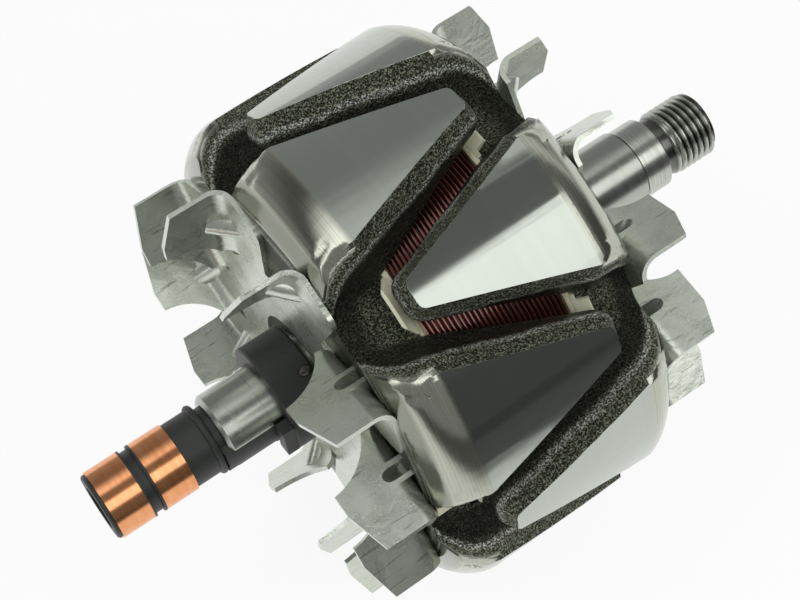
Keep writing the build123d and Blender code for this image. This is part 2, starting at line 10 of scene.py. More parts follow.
import bpy
import numpy as np
from mathutils import Matrix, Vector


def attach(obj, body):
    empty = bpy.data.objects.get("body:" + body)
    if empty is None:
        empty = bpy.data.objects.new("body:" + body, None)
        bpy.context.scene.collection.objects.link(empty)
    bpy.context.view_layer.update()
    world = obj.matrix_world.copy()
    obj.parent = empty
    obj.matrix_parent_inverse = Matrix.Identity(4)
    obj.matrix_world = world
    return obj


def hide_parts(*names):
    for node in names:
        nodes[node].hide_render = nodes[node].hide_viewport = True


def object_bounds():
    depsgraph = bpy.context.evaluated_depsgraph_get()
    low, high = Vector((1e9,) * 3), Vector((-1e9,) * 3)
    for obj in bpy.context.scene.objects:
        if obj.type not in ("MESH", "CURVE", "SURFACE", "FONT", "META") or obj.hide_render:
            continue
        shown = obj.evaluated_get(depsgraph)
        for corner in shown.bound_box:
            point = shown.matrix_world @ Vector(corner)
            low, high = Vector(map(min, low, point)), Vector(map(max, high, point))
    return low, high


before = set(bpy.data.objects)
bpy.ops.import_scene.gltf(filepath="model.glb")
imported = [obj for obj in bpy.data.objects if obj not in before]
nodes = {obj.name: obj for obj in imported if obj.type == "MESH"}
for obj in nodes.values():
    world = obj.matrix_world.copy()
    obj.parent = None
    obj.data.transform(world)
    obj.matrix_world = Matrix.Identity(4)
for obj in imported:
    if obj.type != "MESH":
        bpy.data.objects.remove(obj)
cad_low, cad_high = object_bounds()
MM = 0.001
print("nodes:", len(nodes))

# %% [markdown]
# ## Small helpers
# A material is a few nodes with links between them. These helpers add a node, set its
# plain values, and join it to others, so that each recipe below stays short.


# %% Helpers for node trees
def add_node(tree, kind, **settings):
    """One node of this kind, with its own settings such as operation or data type."""
    node = tree.nodes.new(kind)
    for key, value in settings.items():
        setattr(node, key, value)
    return node


def math(tree, operation, first, second=None, third=None):
    """The output of a Math node; each input is a socket or a plain number."""
    node = add_node(tree, "ShaderNodeMath", operation=operation)
    for place, value in enumerate((first, second, third)):
        if value is None:
            continue
        if isinstance(value, bpy.types.NodeSocket):
            tree.links.new(value, node.inputs[place])
        else:
            node.inputs[place].default_value = value
    return node.outputs[0]


# A Mix node has sockets for numbers, vectors and colours; these are its colour sockets
COLOUR_A, COLOUR_B, COLOUR_RESULT = 6, 7, 2


def mix_colour(tree, mask, low, high):
    """Colour low where mask is 0 and high where it is 1; each is a socket or three numbers."""
    node = add_node(tree, "ShaderNodeMix", data_type="RGBA")
    tree.links.new(mask, node.inputs["Factor"])
    for place, value in ((COLOUR_A, low), (COLOUR_B, high)):
        if isinstance(value, bpy.types.NodeSocket):
            tree.links.new(value, node.inputs[place])
        else:
            node.inputs[place].default_value = (*value, 1.0)
    return node.outputs[COLOUR_RESULT]


def blend(tree, mask, low, high):
    """Low plus the mask times the step from low to high, for values such as roughness."""
    span = math(tree, "SUBTRACT", high, low)
    return math(tree, "MULTIPLY_ADD", mask, span, low)


def ramp(tree, value, start, end):
    """0 below start, 1 above end, and smooth between."""
    node = add_node(tree, "ShaderNodeMapRange", interpolation_type="SMOOTHSTEP")
    tree.links.new(value, node.inputs["Value"])
    node.inputs["From Min"].default_value = start
    node.inputs["From Max"].default_value = end
    return node.outputs["Result"]


print("helpers ready")


# %% Helpers for groups of nodes
def new_group(name, inputs, outputs):
    """An empty shader node group with named float inputs and outputs."""
    tree = bpy.data.node_groups.new(name, "ShaderNodeTree")
    for label, value in inputs.items():
        socket = tree.interface.new_socket(label, in_out="INPUT", socket_type="NodeSocketFloat")
        socket.default_value = value
    for label in outputs:
        tree.interface.new_socket(label, in_out="OUTPUT", socket_type="NodeSocketFloat")
    return tree, tree.nodes.new("NodeGroupInput"), tree.nodes.new("NodeGroupOutput")


def place_group(tree, group, **values):
    """A copy of a group in this material, with its own plain values."""
    node = add_node(tree, "ShaderNodeGroup")
    node.node_tree = group
    for label, value in values.items():
        node.inputs[label.replace("_", " ")].default_value = value
    return node


print("group helpers ready")

# %% [markdown]
# ## Where on the rotor am I?
# Nearly every finish on a turned part follows its axis. A picture wrapped round the part
# could do that, but it needs a seam and a flat layout. The first group needs neither: it
# turns a point into how far along the shaft it lies, how far from the axis, and its angle.

# %% The rotor's own coordinates
TO_MM = 1000.0
turned_place, _, out = new_group("turned place", {}, ("Along", "Radius", "Angle"))
coordinates = add_node(turned_place, "ShaderNodeTexCoord")
split = add_node(turned_place, "ShaderNodeSeparateXYZ")
turned_place.links.new(coordinates.outputs["Object"], split.inputs[0])
along = math(turned_place, "MULTIPLY", split.outputs["X"], TO_MM)
y_squared = math(turned_place, "MULTIPLY", split.outputs["Y"], split.outputs["Y"])
z_squared = math(turned_place, "MULTIPLY", split.outputs["Z"], split.outputs["Z"])
distance = math(turned_place, "SQRT", math(turned_place, "ADD", y_squared, z_squared))
radius = math(turned_place, "MULTIPLY", distance, TO_MM)
angle = math(turned_place, "ARCTAN2", split.outputs["Z"], split.outputs["Y"])
turned_place.links.new(along, out.inputs["Along"])
turned_place.links.new(radius, out.inputs["Radius"])
turned_place.links.new(angle, out.inputs["Angle"])
print("group:", turned_place.name)

# %% [markdown]
# ## Grain, tool lines and streaks
# Grain is what scale and blasting leave on a forging. Tool lines are the rings that a
# cutting tool or grinding wheel leaves round a turned part: noise that changes quickly
# along the shaft and slowly round it. Streaks are the long pulls on rolled sheet. Several
# finishes need each of them at another size, so each is a group with the size as an input.

# %% Forging grain
SPECKLE_FROM, SPECKLE_FULL = 0.43, 0.68
FINE_SHARE, GRAIN_ROUGHNESS = 0.7, 0.65
grain_inputs = {"Size mm": 0.8, "Contrast": 1.0}
forging_grain, inside, out = new_group("forging grain", grain_inputs, ("Height", "Speckle"))
coordinates = add_node(forging_grain, "ShaderNodeTexCoord")
frequency = math(forging_grain, "DIVIDE", TO_MM, inside.outputs["Size mm"])
coarse = add_node(forging_grain, "ShaderNodeTexNoise")
fine = add_node(forging_grain, "ShaderNodeTexNoise")
for noise, detail, scale in ((coarse, 3.0, 0.4), (fine, 2.0, 1.0)):
    forging_grain.links.new(coordinates.outputs["Object"], noise.inputs["Vector"])
    forging_grain.links.new(math(forging_grain, "MULTIPLY", frequency, scale), noise.inputs["Scale"])
    noise.inputs["Detail"].default_value = detail
    noise.inputs["Roughness"].default_value = GRAIN_ROUGHNESS
sharp = ramp(forging_grain, fine.outputs["Fac"], SPECKLE_FROM, SPECKLE_FULL)
height = math(forging_grain, "MULTIPLY_ADD", fine.outputs["Fac"], FINE_SHARE, coarse.outputs["Fac"])
speckle = math(forging_grain, "MULTIPLY", sharp, inside.outputs["Contrast"])
forging_grain.links.new(height, out.inputs["Height"])
forging_grain.links.new(speckle, out.inputs["Speckle"])
print("group:", forging_grain.name)

# %% Tool lines round the shaft
LINE_DETAIL = 2.0
tool_lines, inside, out = new_group("tool lines", {"Per mm": 6.0}, ("Lines", "Bands"))
where = place_group(tool_lines, turned_place)
for label, scale, slow in (("Lines", 1.0, 0.35), ("Bands", 0.12, 0.2)):
    lie = add_node(tool_lines, "ShaderNodeCombineXYZ")
    step = math(tool_lines, "MULTIPLY", inside.outputs["Per mm"], scale)
    tool_lines.links.new(math(tool_lines, "MULTIPLY", where.outputs["Along"], step), lie.inputs["X"])
    tool_lines.links.new(math(tool_lines, "MULTIPLY", where.outputs["Angle"], slow), lie.inputs["Y"])
    tool_lines.links.new(math(tool_lines, "MULTIPLY", where.outputs["Radius"], step), lie.inputs["Z"])
    noise = add_node(tool_lines, "ShaderNodeTexNoise")
    noise.inputs["Scale"].default_value = 1.0
    noise.inputs["Detail"].default_value = LINE_DETAIL
    tool_lines.links.new(lie.outputs["Vector"], noise.inputs["Vector"])
    tool_lines.links.new(noise.outputs["Fac"], out.inputs[label])
print("group:", tool_lines.name)

# %% Streaks of rolled sheet
PULL, EVEN = (0.25, 2.2, 2.2), (1.0, 1.0, 1.0)
PULL_TURN = (0.4, 0.3, 0.2)
STREAK_DETAIL, STREAK_DISTORTION = 5.0, 0.6
sheet_streaks, inside, out = new_group("sheet streaks", {"Size mm": 6.0}, ("Streaks", "Clouds"))
coordinates = add_node(sheet_streaks, "ShaderNodeTexCoord")
frequency = math(sheet_streaks, "DIVIDE", TO_MM, inside.outputs["Size mm"])
for label, stretch, factor in (("Streaks", PULL, 1.0), ("Clouds", EVEN, 0.7)):
    mapping = add_node(sheet_streaks, "ShaderNodeMapping")
    mapping.inputs["Scale"].default_value = stretch
    mapping.inputs["Rotation"].default_value = PULL_TURN
    sheet_streaks.links.new(coordinates.outputs["Object"], mapping.inputs["Vector"])
    noise = add_node(sheet_streaks, "ShaderNodeTexNoise")
    sheet_streaks.links.new(mapping.outputs["Vector"], noise.inputs["Vector"])
    sheet_streaks.links.new(math(sheet_streaks, "MULTIPLY", frequency, factor), noise.inputs["Scale"])
    noise.inputs["Detail"].default_value = STREAK_DETAIL
    noise.inputs["Distortion"].default_value = STREAK_DISTORTION
    sheet_streaks.links.new(noise.outputs["Fac"], out.inputs[label])
print("groups:", len(bpy.data.node_groups))

# %% [markdown]
# ## Starting a material
# What is the same all over a surface, such as the index of refraction, is set on the shader
# itself. What changes over the surface comes from the groups above and is linked in.


# %% A material with its shader
def start_material(name, **uniform):
    """A new material; the uniform values go straight on to the shader's own sockets."""
    material = bpy.data.materials.new(name)
    material.use_nodes = True
    tree = material.node_tree
    shader = tree.nodes["Principled BSDF"]
    for label, value in uniform.items():
        shader.inputs[label.replace("_", " ")].default_value = value
    return material, tree, shader


def add_bump(tree, shader, height, depth_mm):
    """Tilts the shading by a height pattern of this depth."""
    bump = add_node(tree, "ShaderNodeBump")
    bump.inputs["Distance"].default_value = depth_mm * MM
    bump.inputs["Strength"].default_value = 1.0
    tree.links.new(height, bump.inputs["Height"])
    tree.links.new(bump.outputs["Normal"], shader.inputs["Normal"])


print("material helpers ready")

# %% [markdown]
# ## Forged and ground steel
# A pole half is forged, then turned on its shoulders and ground on its lands, and dipped in
# varnish. All three finishes are on one solid. They could be painted on by hand, but the
# machine tools follow an outline, so the material finds them by the same outline: the lands
# lie on a 53 mm radius, the shoulders on an arc and then a cone that fall away from it, and
# everything below those is as it was forged.

# %% The turned outline of a pole half
LAND_RADIUS, LAND_HALF_LENGTH = 53.0, 18.2
ARC_ALONG, ARC_HEIGHT, ARC_RADIUS = 17.05, 43.15, 9.917
CONE_START, CONE_RADIUS, CONE_SLOPE = 25.2, 48.8, 2.0
machined_place, _, out = new_group("machined place", {}, ("Depth", "Shoulder", "Machined"))
where = place_group(machined_place, turned_place)
side = math(machined_place, "ABSOLUTE", where.outputs["Along"])
past = math(machined_place, "SUBTRACT", side, ARC_ALONG)
past_squared = math(machined_place, "MULTIPLY", past, past)
rise_squared = math(machined_place, "MULTIPLY_ADD", past_squared, -1.0, ARC_RADIUS**2)
rise = math(machined_place, "SQRT", math(machined_place, "MAXIMUM", rise_squared, 0.0))
arc = math(machined_place, "ADD", rise, ARC_HEIGHT)
cone_foot = CONE_RADIUS + CONE_SLOPE * CONE_START
cone = math(machined_place, "MULTIPLY_ADD", side, -CONE_SLOPE, cone_foot)
print("outline from", LAND_RADIUS, "mm down to", CONE_RADIUS, "mm and on")

# %% How deep a point lies under the outline
LAND_EDGE, CONE_EDGE = 0.05, 0.01
LAND_SKIN, SHOULDER_SKIN, SKIN_FADE = 0.10, 1.7, (0.5, 1.0)
shoulder = ramp(machined_place, side, LAND_HALF_LENGTH - LAND_EDGE, LAND_HALF_LENGTH + LAND_EDGE)
after_arc = ramp(machined_place, side, CONE_START - CONE_EDGE, CONE_START + CONE_EDGE)
curve = blend(machined_place, after_arc, arc, cone)
surface = blend(machined_place, shoulder, LAND_RADIUS, curve)
depth = math(machined_place, "SUBTRACT", surface, where.outputs["Radius"])
skin = blend(machined_place, shoulder, LAND_SKIN, SHOULDER_SKIN)
worn = math(machined_place, "DIVIDE", depth, skin)
machined = math(machined_place, "SUBTRACT", 1.0, ramp(machined_place, worn, *SKIN_FADE))
machined_place.links.new(depth, out.inputs["Depth"])
machined_place.links.new(shoulder, out.inputs["Shoulder"])
machined_place.links.new(machined, out.inputs["Machined"])
print("group:", machined_place.name)

# %% [markdown]
# ### Forged sides
# The raw sides are dark scale with bright grains. The ridge along each side gets a painted
# highlight on its grains, and the part below it, which faces inwards, gets painted shade.
# Both bands follow the depth under the outline, and soft clouds move them up and down so
# that neither is a stripe.

# %% Colour of the forged sides
SCALE_DARK, SCALE_BRIGHT = (0.022, 0.024, 0.015), (0.40, 0.43, 0.31)
# Colours of the painted highlight on the ridge and of the painted shade below it
RIDGE_PAINTED_HIGHLIGHT, UNDERSIDE_PAINTED_SHADE = (0.96, 0.98, 0.92), (0.012, 0.012, 0.009)
CLOUD_SHIFT = 3.0
HIGHLIGHT_RISE, HIGHLIGHT_FALL, HIGHLIGHT_ON_DARK, HIGHLIGHT_ON_BRIGHT = (3.9, 4.7), (5.0, 6.0), 0.06, 0.9
SHADE_RISE, SHADE_FALL, SHADE_SHARE = (5.2, 6.8), (11.5, 14.0), 0.78
forged, tree, shader = start_material("forged_pole_steel")
here = place_group(tree, machined_place)
grain = place_group(tree, forging_grain, Size_mm=0.36, Contrast=1.0)
patches = place_group(tree, sheet_streaks, Size_mm=9.0)
level = math(tree, "MULTIPLY_ADD", patches.outputs["Clouds"], CLOUD_SHIFT, here.outputs["Depth"])
ridge = math(tree, "SUBTRACT", ramp(tree, level, *HIGHLIGHT_RISE), ramp(tree, level, *HIGHLIGHT_FALL))
under = math(tree, "SUBTRACT", ramp(tree, level, *SHADE_RISE), ramp(tree, level, *SHADE_FALL))
raw = mix_colour(tree, grain.outputs["Speckle"], SCALE_DARK, SCALE_BRIGHT)
# Painted highlight: the grains along the ridge are lightened where light falls on it
highlight_share = blend(tree, grain.outputs["Speckle"], HIGHLIGHT_ON_DARK, HIGHLIGHT_ON_BRIGHT)
raw = mix_colour(tree, math(tree, "MULTIPLY", ridge, highlight_share), raw, RIDGE_PAINTED_HIGHLIGHT)
# Painted shade: the band below the ridge, which faces inwards, is darkened
raw = mix_colour(tree, math(tree, "MULTIPLY", under, SHADE_SHARE), raw, UNDERSIDE_PAINTED_SHADE)
print("forged sides ready")

# %% [markdown]
# ### Lands and shoulders
# The grinding wheel leaves the lands almost even. The lathe leaves clear rings on the
# shoulders, and the steep cone at each end is duller. Fine rings need no real depth, so they
# are a colour and a very shallow bump.

# %% Colour and shine of the machined faces
LAND_LOW, LAND_HIGH = (0.44, 0.475, 0.425), (0.48, 0.515, 0.465)
LATHE_LOW, LATHE_HIGH = (0.30, 0.31, 0.25), (0.62, 0.64, 0.55)
CONE_STEEL, CONE_SHARE = (0.22, 0.23, 0.19), 0.75
CONE_FADE = (CONE_START - 0.6, CONE_START + 0.4)
RAW_METALLIC, RAW_ROUGHNESS = 0.7, 0.32
LAND_ROUGHNESS, LATHE_ROUGHNESS = 0.10, 0.17
LINE_SHARE = 0.02
lines = place_group(tree, tool_lines, Per_mm=4.0)
where = place_group(tree, turned_place)
machined, on_shoulder = here.outputs["Machined"], here.outputs["Shoulder"]
land = mix_colour(tree, lines.outputs["Bands"], LAND_LOW, LAND_HIGH)
turned = mix_colour(tree, lines.outputs["Lines"], LATHE_LOW, LATHE_HIGH)
on_cone = ramp(tree, math(tree, "ABSOLUTE", where.outputs["Along"]), *CONE_FADE)
turned = mix_colour(tree, math(tree, "MULTIPLY", on_cone, CONE_SHARE), turned, CONE_STEEL)
smooth = mix_colour(tree, on_shoulder, land, turned)
smooth_roughness = blend(tree, on_shoulder, LAND_ROUGHNESS, LATHE_ROUGHNESS)
tree.links.new(mix_colour(tree, machined, raw, smooth), shader.inputs["Base Color"])
tree.links.new(blend(tree, machined, RAW_METALLIC, 1.0), shader.inputs["Metallic"])
tree.links.new(blend(tree, machined, RAW_ROUGHNESS, smooth_roughness), shader.inputs["Roughness"])
line_height = math(tree, "MULTIPLY", lines.outputs["Lines"], LINE_SHARE)
relief = blend(tree, machined, grain.outputs["Height"], line_height)
add_bump(tree, shader, relief, depth_mm=0.8)
print("material:", forged.name)

# %% [markdown]
# ### The core
# The round core between the halves is plain turned steel that hardly shows, so a coarse
# grain alone is enough for it.

# %% Core steel
core, tree, shader = start_material("core_steel", Metallic=0.9, Roughness=0.4)
grain = place_group(tree, forging_grain, Size_mm=0.9, Contrast=0.6)
colour = mix_colour(tree, grain.outputs["Speckle"], (0.12, 0.12, 0.10), (0.34, 0.34, 0.30))
tree.links.new(colour, shader.inputs["Base Color"])
add_bump(tree, shader, grain.outputs["Height"], depth_mm=0.2)
print("material:", core.name)

# %% [markdown]
# ## Turned and ground shaft steel
# The seats are ground to a fine finish and show long soft highlights. The collar and the
# thread are only turned, so their lines are coarser, and the grooves get painted shade. One
# material covers the whole shaft, because the place along it tells the finishes apart.

# %% Shaft steel
COLLAR_FROM, THREAD_FROM = (54.2, 54.6), (61.0, 61.4)
GROOVE_SHADE_TOP, GROOVE_PAINTED_SHADE, GROOVE_SHADE_SHARE = (6.55, 7.15), (0.03, 0.03, 0.026), 0.9
SEAT_LOW, SEAT_HIGH = (0.38, 0.40, 0.36), (0.50, 0.53, 0.48)
COLLAR_LOW, COLLAR_HIGH = (0.26, 0.27, 0.24), (0.74, 0.76, 0.70)
SHAFT_ROUGHNESS = (0.18, 0.32)
ground, tree, shader = start_material("ground_shaft_steel", Metallic=1.0)
where = place_group(tree, turned_place)
lines = place_group(tree, tool_lines, Per_mm=9.0)
clouds = place_group(tree, sheet_streaks, Size_mm=9.0)
turned_part = ramp(tree, where.outputs["Along"], *COLLAR_FROM)
thread_part = ramp(tree, where.outputs["Along"], *THREAD_FROM)
# Painted shade: the thread's grooves are coloured nearly black
groove = math(tree, "SUBTRACT", 1.0, ramp(tree, where.outputs["Radius"], *GROOVE_SHADE_TOP))
groove = math(tree, "MULTIPLY", groove, thread_part)
seat = mix_colour(tree, clouds.outputs["Clouds"], SEAT_LOW, SEAT_HIGH)
lathe = mix_colour(tree, lines.outputs["Lines"], COLLAR_LOW, COLLAR_HIGH)
colour = mix_colour(tree, turned_part, seat, lathe)
colour = mix_colour(tree, math(tree, "MULTIPLY", groove, GROOVE_SHADE_SHARE), colour, GROOVE_PAINTED_SHADE)
tree.links.new(colour, shader.inputs["Base Color"])
tree.links.new(blend(tree, lines.outputs["Bands"], *SHAFT_ROUGHNESS), shader.inputs["Roughness"])
add_bump(tree, shader, lines.outputs["Lines"], depth_mm=0.012)
print("material:", ground.name)

# %% [markdown]
# ## Galvanised fan sheet
# The fans are stamped from zinc-coated sheet. The coat is grey with a green tint and a fine
# spangle, and the press pulls it into streaks and dark scratches. Where the sheet was cut
# the faces are painted bright, partly as bare steel and partly as a painted highlight along
# the edges: those faces look along the shaft, high on the blades, so the way a face looks
# and its place find them without a painted map.

# %% Zinc coat and cut edges
ZINC_DARK, ZINC_PALE, SPANGLE = (0.46, 0.50, 0.41), (0.80, 0.84, 0.76), (0.84, 0.87, 0.82)
SCRATCH, SCRATCH_RANGE, SCRATCH_SHARE = (0.12, 0.13, 0.10), (0.61, 0.68), 0.5
CUT_STEEL_AND_EDGE_HIGHLIGHT, CUT_FACING, CUT_FROM = (0.70, 0.73, 0.69), (0.35, 0.6), (32.0, 33.0)
ZINC_ROUGHNESS, SPANGLE_RELIEF = (0.2, 0.36), 0.12
zinc, tree, shader = start_material("galvanised_sheet", Metallic=0.85)
where = place_group(tree, turned_place)
streak = place_group(tree, sheet_streaks, Size_mm=5.0)
spangle = place_group(tree, forging_grain, Size_mm=0.35, Contrast=0.35)
scratches = place_group(tree, sheet_streaks, Size_mm=1.6)
coordinates = add_node(tree, "ShaderNodeTexCoord")
facing = add_node(tree, "ShaderNodeSeparateXYZ")
tree.links.new(coordinates.outputs["Normal"], facing.inputs[0])
side = math(tree, "ABSOLUTE", where.outputs["Along"])
cut = ramp(tree, math(tree, "ABSOLUTE", facing.outputs["X"]), *CUT_FACING)
cut = math(tree, "MULTIPLY", cut, ramp(tree, side, *CUT_FROM))
body = mix_colour(tree, streak.outputs["Clouds"], ZINC_DARK, ZINC_PALE)
body = mix_colour(tree, spangle.outputs["Speckle"], body, SPANGLE)
pulled = ramp(tree, scratches.outputs["Streaks"], *SCRATCH_RANGE)
body = mix_colour(tree, math(tree, "MULTIPLY", pulled, SCRATCH_SHARE), body, SCRATCH)
# Cut faces: bare steel, brightened partly as a painted edge highlight
tree.links.new(mix_colour(tree, cut, body, CUT_STEEL_AND_EDGE_HIGHLIGHT), shader.inputs["Base Color"])
tree.links.new(blend(tree, streak.outputs["Clouds"], *ZINC_ROUGHNESS), shader.inputs["Roughness"])
fine_relief = spangle.outputs["Height"]
relief = math(tree, "MULTIPLY_ADD", fine_relief, SPANGLE_RELIEF, streak.outputs["Clouds"])
add_bump(tree, shader, relief, depth_mm=0.22)
print("material:", zinc.name)

# %% [markdown]
# ## Enamelled wire
# The winding is copper wire under a clear red-brown coat. A metal with a glossy coat on top
# gives the thin bright line on each turn, and the valleys between the turns are painted
# almost black as shade, since light hardly gets down there.

# %% Wire with its clear coat
VALLEY_TO_TOP = (40.0, 40.3)
ENAMEL_DARK, ENAMEL_RED, VALLEY_PAINTED_SHADE = (0.02, 0.004, 0.003), (0.30, 0.08, 0.045), (0.004, 0.002, 0.002)
ENAMEL_ROUGHNESS = (0.12, 0.24)
enamel, tree, shader = start_material(
    "enamelled_wire", Metallic=0.8, Coat_Weight=1.0, Coat_Roughness=0.05
)
patches = place_group(tree, sheet_streaks, Size_mm=7.0)
where = place_group(tree, turned_place)
top = ramp(tree, where.outputs["Radius"], *VALLEY_TO_TOP)
colour = mix_colour(tree, patches.outputs["Clouds"], ENAMEL_DARK, ENAMEL_RED)
# Painted shade: the valleys between the turns are coloured almost black
tree.links.new(mix_colour(tree, top, VALLEY_PAINTED_SHADE, colour), shader.inputs["Base Color"])
roughness = blend(tree, patches.outputs["Clouds"], *ENAMEL_ROUGHNESS)
tree.links.new(roughness, shader.inputs["Roughness"])
print("material:", enamel.name)

# %% [markdown]
# ## Natural nylon
# The bobbin is moulded from uncoloured nylon, which lets some light in, so it glows a little
# from inside. The varnish has browned it where it touches the winding, and that stain is
# found by its place along the shaft.

# %% Nylon with its varnish stain
STAIN_FADE, STAIN_CLOUDS, STAIN = (13.3, 14.8), (0.3, 0.6), (0.20, 0.15, 0.08)
NYLON_LOW, NYLON_HIGH, NYLON_ROUGHNESS = (0.78, 0.78, 0.52), (0.95, 0.95, 0.76), (0.2, 0.4)
nylon, tree, shader = start_material(
    "bobbin_nylon", Subsurface_Weight=0.12, Subsurface_Scale=0.002, IOR=1.5
)
where = place_group(tree, turned_place)
patches = place_group(tree, sheet_streaks, Size_mm=5.0)
side = math(tree, "ABSOLUTE", where.outputs["Along"])
near_wire = math(tree, "SUBTRACT", 1.0, ramp(tree, side, *STAIN_FADE))
stain = math(tree, "MULTIPLY", near_wire, ramp(tree, patches.outputs["Clouds"], *STAIN_CLOUDS))
clean = mix_colour(tree, patches.outputs["Clouds"], NYLON_LOW, NYLON_HIGH)
tree.links.new(mix_colour(tree, stain, clean, STAIN), shader.inputs["Base Color"])
roughness = blend(tree, patches.outputs["Streaks"], *NYLON_ROUGHNESS)
tree.links.new(roughness, shader.inputs["Roughness"])
add_bump(tree, shader, patches.outputs["Streaks"], depth_mm=0.05)
print("material:", nylon.name)

# %% [markdown]
# ## Moulding, copper and varnish
# The ring moulding is a black thermoset, matt and a little dusty. The rings are turned
# copper with the sheen of fine tool lines, and a drop of varnish holds the lead down on the
# terminal collar. All three are small, so each needs only one or two of the groups.

# %% Black ring moulding
moulding, tree, shader = start_material("black_moulding", IOR=1.5)
grain = place_group(tree, forging_grain, Size_mm=0.5, Contrast=0.35)
patches = place_group(tree, sheet_streaks, Size_mm=8.0)
colour = mix_colour(tree, patches.outputs["Clouds"], (0.010, 0.012, 0.011), (0.034, 0.038, 0.034))
tree.links.new(colour, shader.inputs["Base Color"])
tree.links.new(blend(tree, patches.outputs["Clouds"], 0.35, 0.6), shader.inputs["Roughness"])
add_bump(tree, shader, grain.outputs["Height"], depth_mm=0.05)
print("material:", moulding.name)

# %% Turned copper
copper, tree, shader = start_material("ring_copper", Metallic=1.0)
lines = place_group(tree, tool_lines, Per_mm=7.0)
colour = mix_colour(tree, lines.outputs["Bands"], (0.72, 0.27, 0.10), (0.95, 0.47, 0.24))
tree.links.new(colour, shader.inputs["Base Color"])
tree.links.new(blend(tree, lines.outputs["Lines"], 0.12, 0.24), shader.inputs["Roughness"])
add_bump(tree, shader, lines.outputs["Lines"], depth_mm=0.02)
print("material:", copper.name)

# %% Hard varnish
varnish, tree, shader = start_material("hard_varnish", Coat_Weight=0.6, IOR=1.5)
patches = place_group(tree, sheet_streaks, Size_mm=3.0)
colour = mix_colour(tree, patches.outputs["Clouds"], (0.012, 0.010, 0.008), (0.05, 0.04, 0.03))
tree.links.new(colour, shader.inputs["Base Color"])
tree.links.new(blend(tree, patches.outputs["Clouds"], 0.15, 0.4), shader.inputs["Roughness"])
add_bump(tree, shader, patches.outputs["Clouds"], depth_mm=0.2)
print("material:", varnish.name)

# %% Give every node its finish
finishes = {
    "shaft": ground,
    "drive_end_pole": forged,
    "slip_ring_end_pole": forged,
    "field_core": core,
    "coil_bobbin": nylon,
    "field_winding": enamel,
    "drive_end_fan": zinc,
    "slip_ring_end_fan": zinc,
    "slip_ring_moulding": moulding,
    "inner_slip_ring": copper,
    "outer_slip_ring": copper,
    "terminal_varnish": varnish,
    "start_lead": enamel,
    "finish_lead": enamel,
    "start_lead_sleeve": nylon,
    "finish_lead_sleeve": nylon,
    "inner_ring_lead_bar": copper,
    "outer_ring_lead_bar": copper,
}
for name, node in nodes.items():
    node.data.materials.clear()
    node.data.materials.append(finishes[name])
print("finished nodes:", len(nodes))

# %% [markdown]
# ## Forged fingers
# A die leaves more on a forging than its drawing shows: each finger's side bulges to a ridge
# where the two dies met, and scale leaves it lumpy. A bump could only pretend that, and the
# ridge shows in the outline of the sides. So each pole half gets a copy of its node with an
# even net of points, whose sides are then pushed out. The ground lands and turned shoulders
# stay exactly where they are.


# %% Value noise for whole arrays
LATTICE = 64


def value_noise(points, cell, seed):
    """Random values on a lattice of this cell, blended smoothly between its eight corners:
    the sum over the corners of each one's value times its weight, where a weight is the
    product along the three axes of an eased share."""
    lattice = np.random.default_rng(seed).uniform(-1, 1, (LATTICE, LATTICE, LATTICE))
    place = points / cell
    base = np.floor(place).astype(int)
    part = place - base
    part = part * part * (3 - 2 * part)
    total = np.zeros(len(points))
    for corner in np.ndindex(2, 2, 2):
        weight = np.prod(np.where(corner, part, 1 - part), axis=1)
        near = (base + corner) % LATTICE
        total += weight * lattice[near[:, 0], near[:, 1], near[:, 2]]
    return total


print("noise at three points:", value_noise(np.eye(3) * 2.5, 1.0, 3).round(2))


# %% Depth under the turned outline
def ease(value, start, end):
    """0 below start, 1 above end, and smooth between: three times the share squared, less
    twice the share cubed."""
    part = np.clip((value - start) / (end - start), 0, 1)
    return part * part * (3 - 2 * part)


def machined_radius(along):
    """The turned outline: the land's radius, then the shoulder's arc, which is its centre's
    height plus the root of its radius squared less the way past its centre squared, then a
    cone that falls by its slope."""
    side = np.abs(along)
    arc = ARC_HEIGHT + np.sqrt(np.maximum(ARC_RADIUS**2 - (side - ARC_ALONG) ** 2, 0))
    cone = CONE_RADIUS - CONE_SLOPE * (side - CONE_START)
    return np.where(side < LAND_HALF_LENGTH, LAND_RADIUS, np.where(side < CONE_START, arc, cone))


print("outline at 0, 20 and 26 mm:", machined_radius(np.array([0.0, 20.0, 26.0])).round(2))

# %% How far the forged sides stand out
RIDGE_DEPTH, RIDGE_WIDTH, RIDGE_HEIGHT = 3.8, 2.5, 1.0
WANDER_SIZE, WANDER_SHIFT, WANDER_GAIN, WANDER_SEED = 9.0, 0.7, 0.25, 3
LUMP_HEIGHT, LUMP_SIZE, LUMP_SEED = 0.16, 2.2, 5
OUTSIDE, NOT_UNDERNEATH, UPRIGHT = (38.5, 40.0), (-0.45, -0.15), (0.75, 0.45)
BEFORE_END_FACE, BELOW_SKIN = (27.0, 26.4), (0.15, 1.0)


